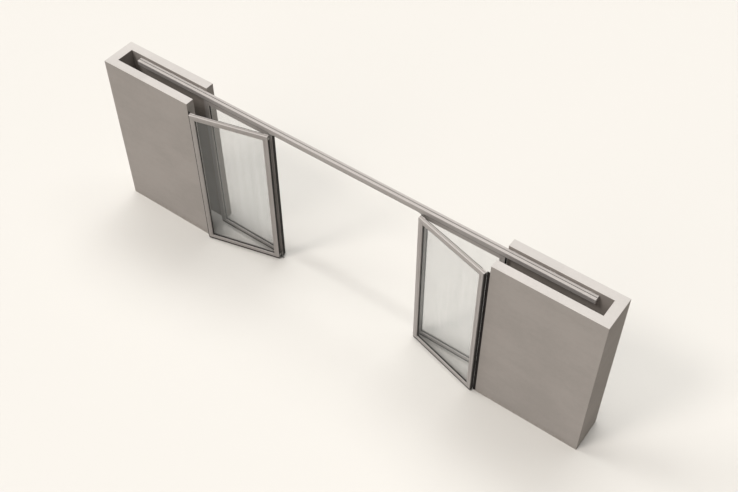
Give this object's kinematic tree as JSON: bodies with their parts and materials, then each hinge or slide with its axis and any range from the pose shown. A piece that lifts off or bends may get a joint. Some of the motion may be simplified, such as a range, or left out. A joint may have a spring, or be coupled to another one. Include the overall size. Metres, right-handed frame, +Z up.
{
  "type": "swing-slide glass wall",
  "caption": "Wide glass wall of framed leaves under one overhead track, sliding and swinging between two hollow wall pockets that are open toward each other.",
  "frame": {"origin": "middle of the opening on the floor, halfway through the depth of the whole part", "axes": "+X along the track from the left pocket to the right pocket, +Y from the front of the pockets to their back, +Z up"},
  "size_m": [7.55, 0.5544, 2.5],
  "materials": {
    "plaster": "fine matt painted plaster, warm grey",
    "aluminium": "satin anodised",
    "steel": "dark satin",
    "rubber": "matt black",
    "glass": "clear with a faint grey-green tint"
  },
  "bodies": {
    "frame": {"left_front_wall": "plaster", "left_back_wall": "plaster", "left_end_wall": "plaster", "right_front_wall": "plaster", "right_back_wall": "plaster", "right_end_wall": "plaster", "track": "aluminium", "track_end_caps": "aluminium", "track_wall_spacers": "steel", "left_top_pivot": "steel", "left_floor_pivot": "steel", "right_top_pivot": "steel", "right_floor_pivot": "steel"},
    "left_slide_leaf": {"left_slide_lead_stile": "aluminium", "left_slide_trail_stile": "aluminium", "left_slide_top_rail": "aluminium", "left_slide_bottom_rail": "aluminium", "left_slide_glass": "glass", "left_slide_gaskets": "rubber", "left_slide_seals": "rubber", "left_slide_trolleys": "steel"},
    "right_slide_leaf": {"right_slide_lead_stile": "aluminium", "right_slide_trail_stile": "aluminium", "right_slide_top_rail": "aluminium", "right_slide_bottom_rail": "aluminium", "right_slide_glass": "glass", "right_slide_gaskets": "rubber", "right_slide_seals": "rubber", "right_slide_trolleys": "steel"},
    "left_swing_leaf": {"left_swing_hinge_stile": "aluminium", "left_swing_free_stile": "aluminium", "left_swing_top_rail": "aluminium", "left_swing_bottom_rail": "aluminium", "left_swing_glass": "glass", "left_swing_gaskets": "rubber", "left_swing_seals": "rubber", "left_swing_pivot_eyes": "steel"},
    "right_swing_leaf": {"right_swing_hinge_stile": "aluminium", "right_swing_free_stile": "aluminium", "right_swing_top_rail": "aluminium", "right_swing_bottom_rail": "aluminium", "right_swing_glass": "glass", "right_swing_gaskets": "rubber", "right_swing_seals": "rubber", "right_swing_pivot_eyes": "steel"}
  },
  "joints": [
    {"name": "left_slide", "type": "slide", "parent": "frame", "child": "left_slide_leaf", "axis": [-1, 0, 0], "range_m": [0, 1.16]},
    {"name": "right_slide", "type": "slide", "parent": "frame", "child": "right_slide_leaf", "axis": [1, 0, 0], "range_m": [0, 1.16]},
    {"name": "left_swing", "type": "hinge", "parent": "frame", "child": "left_swing_leaf", "pos_m": [-1.15226, 0.07018, 0], "axis": [0, 0, 1], "range_deg": [-14.5, 165.5]},
    {"name": "right_swing", "type": "hinge", "parent": "frame", "child": "right_swing_leaf", "pos_m": [1.15226, 0.07018, 0], "axis": [0, 0, -1], "range_deg": [-14.5, 165.5]}
  ]
}
